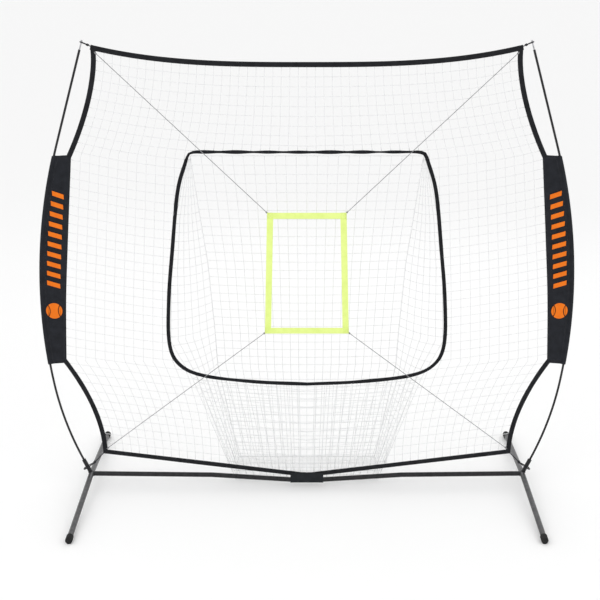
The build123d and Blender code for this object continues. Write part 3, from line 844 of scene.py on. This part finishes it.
EYELET_IN, EYELET_DOWN, EYELET_Y = 0.004, 0.005, -0.0098
KNOT_RADIUS, KNOT_CORD, KNOT_HALF, KNOT_AT, KNOT_TURNS = 0.0026, 0.0011, 0.003, 0.008, 3
UPPER_CORD_END, LOWER_CORD_END = (0.805, -0.0033, 1.827), (0.845, -0.0033, 0.174)
CORD_ENDS = {
    "upper": ((TARGET["top_half"] - EYELET_IN, EYELET_Y, TARGET["top"] - EYELET_DOWN), UPPER_CORD_END),
    "lower": ((TARGET["low_half"] - EYELET_IN, EYELET_Y, TARGET["low"] + EYELET_DOWN), LOWER_CORD_END),
}
for level, (inner_end, outer_end) in CORD_ENDS.items():
    for side, name in ((1, "right"), (-1, "left")):
        start = np.array(inner_end) * [side, 1, 1]
        end = np.array(outer_end) * [side, 1, 1]
        line = resample(np.array([start, end]), 60)
        made = cord(f"target_elastic_{level}_{name}", line, TARGET_CORD)
        finish_piece(made, elastic, [f"target_cord_{level}_{name}"], body=None)
        tuple(start)
        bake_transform(made)
        heading = unit((end - start)[None])[0]
        lead = unit(np.cross(heading, [0, 1, 0])[None])[0]
        for spot, holder, where in ((start, "target", "inner"), (end, BODY, "outer")):
            turns = np.linspace(0, 2 * math.pi * KNOT_TURNS, 60)
            aim = heading if where == "inner" else -heading
            coil = np.outer(np.cos(turns), lead) + np.outer(np.sin(turns), [0, 1, 0])
            coil = spot + aim * KNOT_AT + coil * KNOT_RADIUS
            coil = coil + np.outer(np.linspace(-KNOT_HALF, KNOT_HALF, 60), heading)
            knot = cord(f"elastic_knot_{level}_{name}_{where}", coil, KNOT_CORD, 8)
            finish_piece(knot, elastic, body=holder)

# ---------------------------------------------------------------- corner ties
LOWER_LOOP = [(0.902, -0.002, 0.108), (0.931, -0.012, 0.088), (0.9450, -0.006, 0.0795)]
UPPER_LOOP = [(0.831, -0.002, 1.854), (0.8455, -0.0052, 1.8600), (0.8555, -0.0042, 1.8640)]
# For each tie: its knot, its end in the net's corner, half of its loop, its radius and its knot's size
TIES = {
    "lower": ((0.900, 0, 0.110), (0.8570, 0, 0.1555), LOWER_LOOP, 0.0021, 0.0046),
    "upper": ((0.829, 0, 1.853), (0.815, 0, 1.846), UPPER_LOOP, 0.0019, 0.0038),
}
for level, (knot, corner, loop_points, radius, size) in TIES.items():
    there = np.array(loop_points)
    whole = np.vstack([there, (there * [1, -1, 1])[::-1]])
    loop_path = smooth_curve(whole, 70)
    lead_path = resample(np.array([corner, knot]), 12)
    heading = unit((np.array(corner) - np.array(knot))[None])[0]
    side_way = unit(np.cross(heading, [0, 1, 0])[None])[0]
    turns = np.linspace(0, 2 * math.pi * 2.5, 70)
    wound = np.outer(np.cos(turns), side_way) + np.outer(np.sin(turns), [0, 1, 0])
    wound = np.array(knot) + wound * size * 0.8 + np.outer(np.linspace(-size, size, 70), heading)
    for side, name in ((1, "right"), (-1, "left")):
        main = cord(f"tie_loop_{level}_{name}", loop_path * [side, 1, 1], radius, 10)
        finish_piece(main, tie_cord, [f"corner_cord_{level}_{name}"])
        for part, path in (("lead", lead_path), ("knot", wound)):
            made = cord(f"tie_{part}_{level}_{name}", path * [side, 1, 1], radius, 10)
            finish_piece(made, tie_cord)

# ---------------------------------------------------------------- weld beads at the hubs
# For each bead: its centre, the axis of its tube, its radius, how deep its saddle is, its finish
WELD_BEAD = 0.0014
WELDS = {
    "stub": ((0.9052, 0, 0.0571), (-1, 0, -0.012), 0.0103, 0.0052, gunmetal),
    "socket": ((0.9208, 0, 0.0680), (0.4067, 0, 0.9135), 0.0088, 0.00364, black_gloss),
}
for side, name in ((1, "right"), (-1, "left")):
    for part, (centre, axis, radius, saddle, finish) in WELDS.items():
        axis = unit(np.array([axis], float))[0]
        turns = np.linspace(0, 2 * math.pi, 49)[:-1]
        across = np.array([0.0, 1.0, 0.0])
        up = np.cross(axis, across)
        bead = np.outer(np.cos(turns), across) + np.outer(np.sin(turns), up)
        bead = np.array(centre) + radius * bead - np.outer(saddle * np.cos(turns) ** 2, axis)
        made = cord(f"weld_{part}_{name}", bead * [side, 1, 1], WELD_BEAD, 8, closed=True)
        finish_piece(made, finish)

# ---------------------------------------------------------------- floor, light and camera
bpy.ops.mesh.primitive_plane_add(size=60, location=(0, 0, 0))
floor = bpy.context.object
floor.name = "studio_floor"
floor_material, floor_shader = new_material("studio_white", 0.9)
floor_shader.inputs["Base Color"].default_value = (0.93, 0.93, 0.93, 1)
floor.data.materials.append(floor_material)

world = bpy.data.worlds.new("studio")
bpy.context.scene.world = world
world.use_nodes = True
world.node_tree.nodes["Background"].inputs["Color"].default_value = (1, 1, 1, 1)
world.node_tree.nodes["Background"].inputs["Strength"].default_value = 1.0


def area_light(name, place, aim, size, power):
    """A soft square light that points at a place."""
    light = bpy.data.lights.new(name, "AREA")
    light.size, light.energy = size, power
    made = bpy.data.objects.new(name, light)
    made.location = place
    made.rotation_euler = (Vector(aim) - Vector(place)).to_track_quat("-Z", "Y").to_euler()
    bpy.context.collection.objects.link(made)


area_light("key", (-2.6, -3.4, 3.6), (0, 0, 0.9), 2.4, 26)
area_light("fill", (3.2, -2.8, 2.2), (0, 0, 0.9), 2.6, 12)
area_light("rim", (0.5, 3.2, 3.0), (0, 0, 0.9), 2.4, 10)

CAMERA_PLACE, CAMERA_TILT = (0, -4.6036, 2.3875), 18.628
camera = bpy.data.cameras.new("camera")
camera.lens, camera.sensor_width, camera.shift_x = 72, 36, -0.0114
camera_object = bpy.data.objects.new("camera", camera)
camera_object.location = CAMERA_PLACE
camera_object.rotation_euler = (math.radians(90 - CAMERA_TILT), 0, 0)
bpy.context.collection.objects.link(camera_object)
bpy.context.scene.camera = camera_object
bpy.context.scene.view_settings.view_transform = "Standard"
